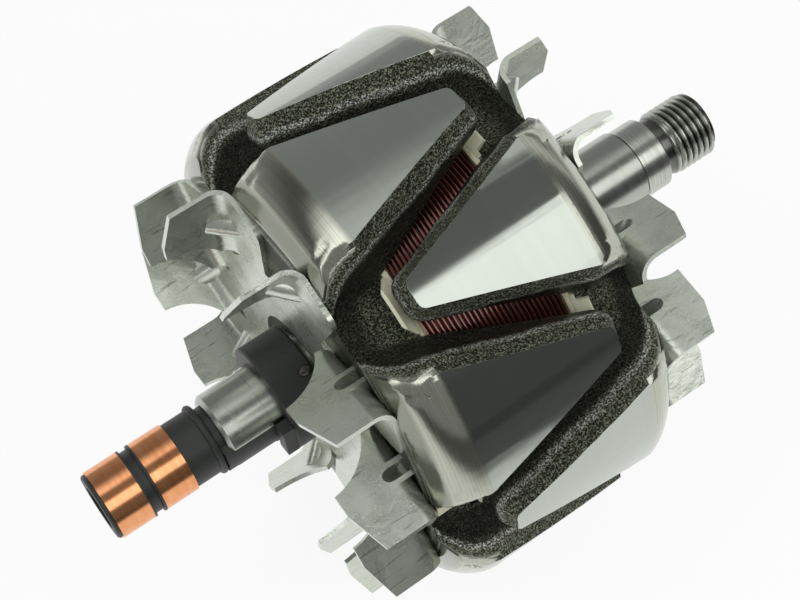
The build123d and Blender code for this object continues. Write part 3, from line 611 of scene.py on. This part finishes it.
def side_push(places, normals):
    """How far each point moves along its normal, in mm: a ridge that falls off as e to the
    minus square of the depth from the ridge over its width, plus lumps of value noise. It is
    eased to nothing on machined faces, under the fingers and at the end faces."""
    radius = np.hypot(places[:, 1], places[:, 2])
    depth = machined_radius(places[:, 0]) - radius
    outward = places[:, 1:] / radius[:, None]
    radial = (normals[:, 1:] * outward).sum(axis=1)
    wander = value_noise(places, WANDER_SIZE, WANDER_SEED)
    from_ridge = (depth - RIDGE_DEPTH - WANDER_SHIFT * wander) / RIDGE_WIDTH
    ridge = RIDGE_HEIGHT * np.exp(-(from_ridge**2)) * (1 + WANDER_GAIN * wander)
    lumps = LUMP_HEIGHT * value_noise(places, LUMP_SIZE, LUMP_SEED)
    push = ridge * ease(np.abs(radial), *UPRIGHT) + lumps
    push *= ease(radius, *OUTSIDE) * ease(radial, *NOT_UNDERNEATH)
    return push * ease(depth, *BELOW_SKIN) * ease(np.abs(places[:, 0]), *BEFORE_END_FACE)


print("ridge height:", RIDGE_HEIGHT, "mm, lumps:", LUMP_HEIGHT, "mm")

# %% An even net over a node
NET_DEPTH, NET_SHARE, WELD_REACH = 7, 0.98, 1e-6


def even_copy(node_name):
    """An object with a welded copy of the node's mesh, cut into small even faces: two to the
    power of the net's depth of them along its longest side."""
    piece = bpy.data.objects.new(node_name + "_forged", nodes[node_name].data.copy())
    bpy.context.scene.collection.objects.link(piece)
    weld = piece.modifiers.new("weld", "WELD")
    weld.merge_threshold = WELD_REACH
    net = piece.modifiers.new("net", "REMESH")
    net.mode = "SHARP"
    net.octree_depth = NET_DEPTH
    net.scale = NET_SHARE
    net.use_remove_disconnected = False
    graph = bpy.context.evaluated_depsgraph_get()
    even = bpy.data.meshes.new_from_object(piece.evaluated_get(graph))
    piece.modifiers.clear()
    piece.data = even
    return piece


def vertex_values(mesh, attribute):
    """One row of three numbers for each vertex."""
    values = np.zeros(len(mesh.vertices) * 3)
    mesh.vertices.foreach_get(attribute, values)
    return values.reshape(-1, 3)


print("faces along a pole half:", 2**NET_DEPTH)

# %% Both pole halves
FORGED_SHARP_DEGREES = 35
for node_name in ("drive_end_pole", "slip_ring_end_pole"):
    piece = even_copy(node_name)
    even = piece.data
    places = vertex_values(even, "co") / MM
    normals = vertex_values(even, "normal")
    places += normals * side_push(places, normals)[:, None]
    even.vertices.foreach_set("co", (places * MM).ravel())
    even.update()
    even.polygons.foreach_set("use_smooth", np.ones(len(even.polygons), bool))
    even.set_sharp_from_angle(angle=np.radians(FORGED_SHARP_DEGREES))
    even.materials.clear()
    even.materials.append(forged)
    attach(piece, "root")
    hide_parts(node_name)
    print(node_name, "faces:", len(even.polygons))

# %% [markdown]
# ## Surfaces from a grid
# The shaft and the winding are closed surfaces over a grid: rows run along the shaft and
# columns run round it. The grid is worked out as whole arrays and handed to the mesh at
# once, which is quick and keeps every formula in one line.


# %% From points and faces to a piece
def add_piece(name, points, faces, sharp_degrees, material):
    """A smooth mesh from points in mm, with sharp edges where faces meet at more than this
    angle; it rides on the rotor."""
    mesh = bpy.data.meshes.new(name)
    mesh.from_pydata((points * MM).tolist(), [], faces)
    mesh.update()
    mesh.polygons.foreach_set("use_smooth", np.ones(len(mesh.polygons), bool))
    mesh.set_sharp_from_angle(angle=np.radians(sharp_degrees))
    mesh.materials.append(material)
    piece = bpy.data.objects.new(name, mesh)
    bpy.context.scene.collection.objects.link(piece)
    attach(piece, "root")
    print(name, "faces:", len(mesh.polygons))
    return piece


# %% A turned bar and a ring
def bar_faces(rows, columns):
    """Faces over points[row, column] whose columns join round, with a fan of triangles on
    each end to that end's middle; the two middles are the last two points."""
    corner = np.arange(rows * columns).reshape(rows, columns)
    following = np.roll(corner, -1, axis=1)
    quads = np.stack((corner[:-1], corner[1:], following[1:], following[:-1]), axis=-1)
    first, last = rows * columns, rows * columns + 1
    start_cap = np.stack((np.full(columns, first), corner[0], following[0]), axis=-1)
    end_cap = np.stack((np.full(columns, last), following[-1], corner[-1]), axis=-1)
    return quads.reshape(-1, 4).tolist() + start_cap.tolist() + end_cap.tolist()


def ring_faces(rows, columns):
    """Faces over points[row, column] whose rows and columns both join round, as on a tyre."""
    corner = np.arange(rows * columns).reshape(rows, columns)
    below = np.roll(corner, -1, axis=0)
    beside, across = np.roll(corner, -1, axis=1), np.roll(below, -1, axis=1)
    return np.stack((corner, below, across, beside), axis=-1).reshape(-1, 4).tolist()


print("faces of a 3 by 4 bar:", len(bar_faces(3, 4)))

# %% [markdown]
# ## The shaft with its thread
# The shaft is a turned profile. On the thread the radius also depends on the angle: going
# round once moves the groove along by one pitch. A real groove is needed here, because the
# thread shows in the outline. Behind the rear seat a slot with a flat floor holds the
# moulding's key, and there the round section gives way to it. The profile has two rows at
# the slot's inner end, one with the slot and one without, which make its end wall.

# %% Shaft profile
profile = np.array(
    [
        (-70.0, 0.6), (-70.0, 4.0), (-49.9, 4.0), (-49.9, 7.3), (-49.1, 8.1), (-40.2, 8.1),
        (-40.2, 8.3), (-28.4, 8.3), (-28.4, 8.3), (-27.0, 8.3), (-27.0, 9.5), (28.4, 9.5),
        (28.4, 8.5), (54.0, 8.5), (54.15, 7.75), (54.5, 7.75),
        (54.6, 8.05), (60.5, 8.05), (61.0, 7.55), (61.1, 6.75), (63.3, 6.65), (64.3, 7.4),
        (73.1, 7.4), (73.75, 6.9), (73.9, 6.4), (73.9, 2.6), (70.8, 0.3),
    ]
)
FINE_FROM, FINE_TO, FINE_STEP, PLAIN_STEP = 61.0, 73.95, 0.11, 3.0


def dense_profile(points):
    """Extra rows at even shares of each leg of the profile, more of them on the thread."""
    rows = []
    for (x0, r0), (x1, r1) in zip(points[:-1], points[1:]):
        step = FINE_STEP if x0 > FINE_FROM and x1 < FINE_TO else PLAIN_STEP
        count = max(1, int(abs(x1 - x0) / step))
        share = np.linspace(0, 1, count, endpoint=False)
        rows.append(np.stack((x0 + share * (x1 - x0), r0 + share * (r1 - r0)), axis=-1))
    rows.append(points[-1:])
    return np.concatenate(rows)


rows = dense_profile(profile)
print("shaft rows:", len(rows))

# %% Turns of the thread
# The wave is the place along the shaft in pitches less the angle in turns: its whole part
# counts the turns and its fraction says where in a groove the point lies.
COLUMNS, PITCH = 240, 1.5
THREAD_DEPTH, ROOT_RADIUS, ROOT_SLACK = 0.92, 6.48, 0.1
THREAD_START, RUN_IN = 63.6, 1.2
CREST_FLAT, FLANK_SHARE = 0.12, 0.70
turn = np.linspace(0, 2 * np.pi, COLUMNS, endpoint=False)
along, outer = rows[:, :1], rows[:, 1:]
wave = (along / PITCH - turn[None, :] / (2 * np.pi)) % 1.0
flank = np.clip((np.abs(wave - 0.5) * 2 - CREST_FLAT) / FLANK_SHARE, 0, 1)
run_in = np.clip((along - THREAD_START) / RUN_IN, 0, 1)
on_thread = (along > THREAD_START) & (outer > ROOT_RADIUS - ROOT_SLACK)
groove = THREAD_DEPTH * (1 - flank) * run_in
height = np.where(on_thread, np.maximum(outer - groove, np.minimum(outer, ROOT_RADIUS)), outer)
wide_along = np.broadcast_to(along, height.shape)
section = np.stack((wide_along, height * np.cos(turn), height * np.sin(turn)), axis=-1)
print("turns of thread:", round((profile[:, 0].max() - THREAD_START) / PITCH, 1))

# %% Cut the slot into the section rows
SLOT_START, SLOT_END = -49.9, -28.4
SLOT_ANGLE, SLOT_HALF_WIDTH, SLOT_FLOOR = np.radians(190.0), 4.0, 4.1
SEAT_RADIUS, WALL_SHARE = 8.1, 0.36
away = (turn - SLOT_ANGLE + np.pi) % (2 * np.pi) - np.pi
mouth = np.arcsin(SLOT_HALF_WIDTH / SEAT_RADIUS)
in_slot = np.abs(away) < mouth
share = away[in_slot] / mouth
down = np.clip((1 - np.abs(share)) / WALL_SHARE, 0, 1)
over = np.where(down < 1, np.sign(share), share / (1 - WALL_SHARE))


def cut_slot(ring, radius):
    """Columns inside the slot's mouth go down one wall, over the floor and up the other: a
    way outward along the slot's middle and a way across it, turned to the slot's angle."""
    half_width = min(SLOT_HALF_WIDTH, radius * np.sin(mouth))
    top = np.sqrt(radius**2 - half_width**2)
    outward = top + (SLOT_FLOOR - top) * down
    across = over * half_width
    cut = ring.copy()
    cut[in_slot, 1] = outward * np.cos(SLOT_ANGLE) - across * np.sin(SLOT_ANGLE)
    cut[in_slot, 2] = outward * np.sin(SLOT_ANGLE) + across * np.cos(SLOT_ANGLE)
    return cut


slot_rows = (rows[:, 0] >= SLOT_START) & (rows[:, 0] <= SLOT_END) & (rows[:, 1] > SLOT_FLOOR)
slot_rows[np.flatnonzero(rows[:, 0] == SLOT_END)[-1]] = False
shaft_points = np.stack(
    [cut_slot(ring, row[1]) if cut else ring for ring, cut, row in zip(section, slot_rows, rows)]
)
print("rows with the slot:", int(slot_rows.sum()))

# %% The shaft's mesh
SHAFT_SHARP_DEGREES = 32
middles = np.stack((shaft_points[0].mean(axis=0), shaft_points[-1].mean(axis=0)))
shaft_corners = np.concatenate((shaft_points.reshape(-1, 3), middles))
shaft_faces = bar_faces(len(rows), COLUMNS)
shaft_piece = add_piece(
    "shaft_with_thread", shaft_corners, shaft_faces, SHAFT_SHARP_DEGREES, ground
)
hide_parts("shaft")

# %% [markdown]
# ## The winding
# The top layer of the coil is one wire laid side by side. Seen in a cut along the shaft it
# is a row of half circles, which step along by one wire for each turn. No winder lays them
# perfectly, so each turn stands a little higher or lower than the next. One surface with
# that relief looks the same as 26 separate loops, and it is closed and light.

# %% Turns of the top layer
# The phase counts wires: the place along the shaft in wires less the angle in turns. Its
# whole part names the turn, and its fraction runs over that turn's half circle.
WINDING_HALF, WINDING_RADIUS, WIRE = 13.05, 40.42, 0.98
TURNS, ROWS_PER_TURN, WIRE_COLUMNS = 26, 9, 280
RISE, SINK, LIFT_SHARE = 0.48, 0.08, 0.6
UNEVEN_LIFT, UNEVEN_STEP = 0.07, 2.4
WAVY_LIFT, WAVY_STEP, WAVES_ROUND = 0.05, 1.7, 3
x_rows = np.linspace(-WINDING_HALF, WINDING_HALF, TURNS * ROWS_PER_TURN + 1)[:, None]
around = np.linspace(0, 2 * np.pi, WIRE_COLUMNS, endpoint=False)[None, :]
phase = x_rows / WIRE - around / (2 * np.pi)
turn_number = np.floor(phase)
wavy = np.sin(WAVES_ROUND * around + WAVY_STEP * turn_number)
lift = UNEVEN_LIFT * np.sin(UNEVEN_STEP * turn_number) + WAVY_LIFT * wavy
half_circle = np.sqrt(np.clip(0.25 - (phase % 1.0 - 0.5) ** 2, 0, None)) * 2
wire_radius = WINDING_RADIUS - RISE * (1 - half_circle) + LIFT_SHARE * lift - SINK
wide_rows = np.broadcast_to(x_rows, wire_radius.shape)
wire_across = (wire_radius * np.cos(around), wire_radius * np.sin(around))
wire_surface = np.stack((wide_rows, *wire_across), axis=-1)
print("winding radius:", wire_radius.min().round(2), "to", wire_radius.max().round(2))

# %% Close the winding towards the core
INNER_RADIUS, WINDING_SHARP_DEGREES = 28.9, 50
core_ring = wire_surface[[0, -1]].copy()
core_ring[..., 1:] *= INNER_RADIUS / np.hypot(core_ring[..., 1:2], core_ring[..., 2:])
coil = np.concatenate((core_ring[:1], wire_surface, core_ring[1:]))
coil_faces = ring_faces(len(coil), WIRE_COLUMNS)
winding_piece = add_piece(
    "wound_field_coil",
    coil.reshape(-1, 3),
    coil_faces,
    WINDING_SHARP_DEGREES,
    enamel,
)
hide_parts("field_winding")

# %% [markdown]
# ## The floor
# Polished steel shows what is round it, so the studio matters as much as the metal. The
# floor is pale, and on the near side its paint turns dark, a painted shade that stands in for
# the dark of the room, which the lowest fingers mirror. What looks at the floor, directly or
# in metal or glass, mostly sees an even white, and all other light meets plain paint, so the
# shadow stays.

# %% Pale floor
FLOOR_SIZE, UNDER_THE_OBJECT = 6.0, 0.0002
DARK_FROM, PALE_FROM = -0.27, -0.13
DARK_ROOM_PAINTED_SHADE, PALE_PAINT, PAINT_ROUGHNESS = (0.09, 0.09, 0.09), (0.93, 0.93, 0.93), 0.9
WHITE_SHARE = 0.9
floor_height = float(cad_low[2]) - UNDER_THE_OBJECT
bpy.ops.mesh.primitive_plane_add(size=FLOOR_SIZE, location=(0, 0, floor_height))
floor = bpy.context.object
floor.name = "studio_floor"
floor_paint, tree, paint = start_material("pale_floor", Roughness=PAINT_ROUGHNESS)
floor_place = add_node(tree, "ShaderNodeTexCoord")
floor_split = add_node(tree, "ShaderNodeSeparateXYZ")
tree.links.new(floor_place.outputs["Object"], floor_split.inputs[0])
lit = ramp(tree, floor_split.outputs["Y"], DARK_FROM, PALE_FROM)
# Painted shade: the near side of the floor is dark paint for the dark of the room
tree.links.new(mix_colour(tree, lit, DARK_ROOM_PAINTED_SHADE, PALE_PAINT), paint.inputs["Base Color"])
floor.data.materials.append(floor_paint)
print("floor at:", round(floor_height, 4))

# %% Even white where the floor is looked at
glow = add_node(tree, "ShaderNodeEmission")
glow.inputs["Strength"].default_value = 1.0
rays = add_node(tree, "ShaderNodeLightPath")
shown = math(tree, "MAXIMUM", rays.outputs["Is Camera Ray"], rays.outputs["Is Glossy Ray"])
shown = math(tree, "MAXIMUM", shown, rays.outputs["Is Transmission Ray"])
shown = math(tree, "MULTIPLY", math(tree, "MULTIPLY", shown, lit), WHITE_SHARE)
both = add_node(tree, "ShaderNodeMixShader")
tree.links.new(shown, both.inputs[0])
tree.links.new(paint.outputs[0], both.inputs[1])
tree.links.new(glow.outputs[0], both.inputs[2])
tree.links.new(both.outputs[0], tree.nodes["Material Output"].inputs["Surface"])
print("material:", floor_paint.name)

# %% [markdown]
# ## Studio walls and ceiling
# A real studio has walls, flags and a ceiling, and the claws mirror all of them. Building
# them as meshes would work, but a world that is bright or dark by direction is simpler and
# has no edges. Its brightness depends on the angle round X, as seen from the rotor: grey on
# the far side, lighter straight above, most of all towards -X, and dark on the near side.
# Close to the floor the far side is pale.

# %% Directions in the world
HALF_TURN, WHOLE_TURN, BELOW = 180.0, 360.0, 450.0
RIGHT_FADE = (-0.12, 0.16)
world = bpy.data.worlds.new("studio")
world.use_nodes = True
bpy.context.scene.world = world
tree = world.node_tree
direction = add_node(tree, "ShaderNodeTexCoord")
split = add_node(tree, "ShaderNodeSeparateXYZ")
tree.links.new(direction.outputs["Generated"], split.inputs[0])
turn = math(tree, "ARCTAN2", split.outputs["Z"], split.outputs["Y"])
turn = math(tree, "MULTIPLY", turn, HALF_TURN / np.pi)
from_below = math(tree, "MODULO", math(tree, "ADD", turn, BELOW), WHOLE_TURN)
to_right = ramp(tree, split.outputs["X"], *RIGHT_FADE)
print("world:", world.name)

# %% Brightness by direction
FAR_GREY, LEFT_GREY, HORIZON_GREY, PALE = 0.29, 0.10, 0.34, 0.5
OVERHEAD_GREY, OVERHEAD_PALE = 0.78, 2.0
WEDGE_GREY, NEAR_GREY, NEAR_LEFT_GREY = 0.17, 0.085, 0.30
ABOVE_HORIZON, TO_OVERHEAD, HIGH = (10.0, 50.0), (56.0, 86.0), (0.02, 0.14)
PAST_TOP, PAST_WEDGE = (178.0, 187.0), (200.0, 240.0)
far_grey = blend(tree, to_right, LEFT_GREY, FAR_GREY)
far_side = blend(tree, ramp(tree, turn, *ABOVE_HORIZON), HORIZON_GREY, far_grey)
overhead = blend(tree, to_right, OVERHEAD_PALE, OVERHEAD_GREY)
far_side = blend(tree, ramp(tree, turn, *TO_OVERHEAD), far_side, overhead)
far_side = blend(tree, ramp(tree, split.outputs["Z"], *HIGH), PALE, far_side)
near_side = blend(tree, ramp(tree, from_below, *PAST_WEDGE), WEDGE_GREY, NEAR_GREY)
near_side = blend(tree, to_right, NEAR_LEFT_GREY, near_side)
past_top = ramp(tree, from_below, *PAST_TOP)
room = tree.nodes["Background"]
tree.links.new(blend(tree, past_top, far_side, near_side), room.inputs["Color"])
room.inputs["Strength"].default_value = 1.0
print("brightest part of the room:", OVERHEAD_PALE)

# %% [markdown]
# ## Lamps
# One broad soft box stands where the claws mirror it as a bright band. A second lamp hangs
# overhead and only lifts the shadows on nylon and floor, so polished steel doesn't show it.
# Area lamps are used for both, because a small lamp would leave hard spots on the steel.


# %% Soft lamps
def soft_lamp(name, toward, distance, size, power):
    """A rectangular lamp that far from the origin in this direction, turned towards it: its
    long side is X less the part of X along its own direction."""
    lamp = bpy.data.lights.new(name, "AREA")
    lamp.shape = "RECTANGLE"
    lamp.size, lamp.size_y = size
    lamp.energy = power
    holder = bpy.data.objects.new(name, lamp)
    bpy.context.scene.collection.objects.link(holder)
    outward = np.array(toward, float) / np.linalg.norm(toward)
    across = np.array((1.0, 0.0, 0.0)) - outward[0] * outward
    across /= np.linalg.norm(across)
    matrix = np.eye(4)
    matrix[:3, 0], matrix[:3, 1], matrix[:3, 2] = across, np.cross(outward, across), outward
    matrix[:3, 3] = outward * distance
    holder.matrix_world = Matrix(matrix.tolist())
    return holder


soft_lamp("key_softbox", (0.256, -0.660, 0.707), 0.75, (0.9, 0.39), 1.65)
fill = soft_lamp("overhead_fill", (-0.1, -0.25, 1.0), 1.2, (1.4, 1.4), 5.5)
fill.visible_glossy = False
print("lamps:", len(bpy.data.lights))

# %% [markdown]
# ## Camera at the photograph's viewing angle
# The claws' circles and the shaft look like ellipses and a leaning line in the photograph.
# The camera's place, its three directions and its lens are those that give the same ellipses
# and line: a little above the slip-ring end, rolled so that the shaft rises to the right.

# %% Camera
SENSOR_MM, FOCAL_PIXELS, PHOTO_WIDTH, FAR_CLIP = 36.0, 1734.357, 800.0, 20.0
right = (0.8120047241, -0.5744524800, -0.1032118032)
up = (0.5244855544, 0.6406103338, 0.5608326877)
back = (-0.2560531805, -0.5095318916, 0.8214706447)
stand = (-0.09421793732, -0.17912689662, 0.29306006436)
camera_data = bpy.data.cameras.new("camera")
camera_data.sensor_width = SENSOR_MM
camera_data.lens = SENSOR_MM * FOCAL_PIXELS / PHOTO_WIDTH
camera_data.clip_end = FAR_CLIP
camera = bpy.data.objects.new("camera", camera_data)
bpy.context.scene.collection.objects.link(camera)
camera.matrix_world = Matrix([*zip(right, up, back, stand), (0, 0, 0, 1)])
bpy.context.scene.camera = camera
bpy.context.scene.view_settings.view_transform = "Standard"
print("lens:", round(camera_data.lens, 2), "mm")
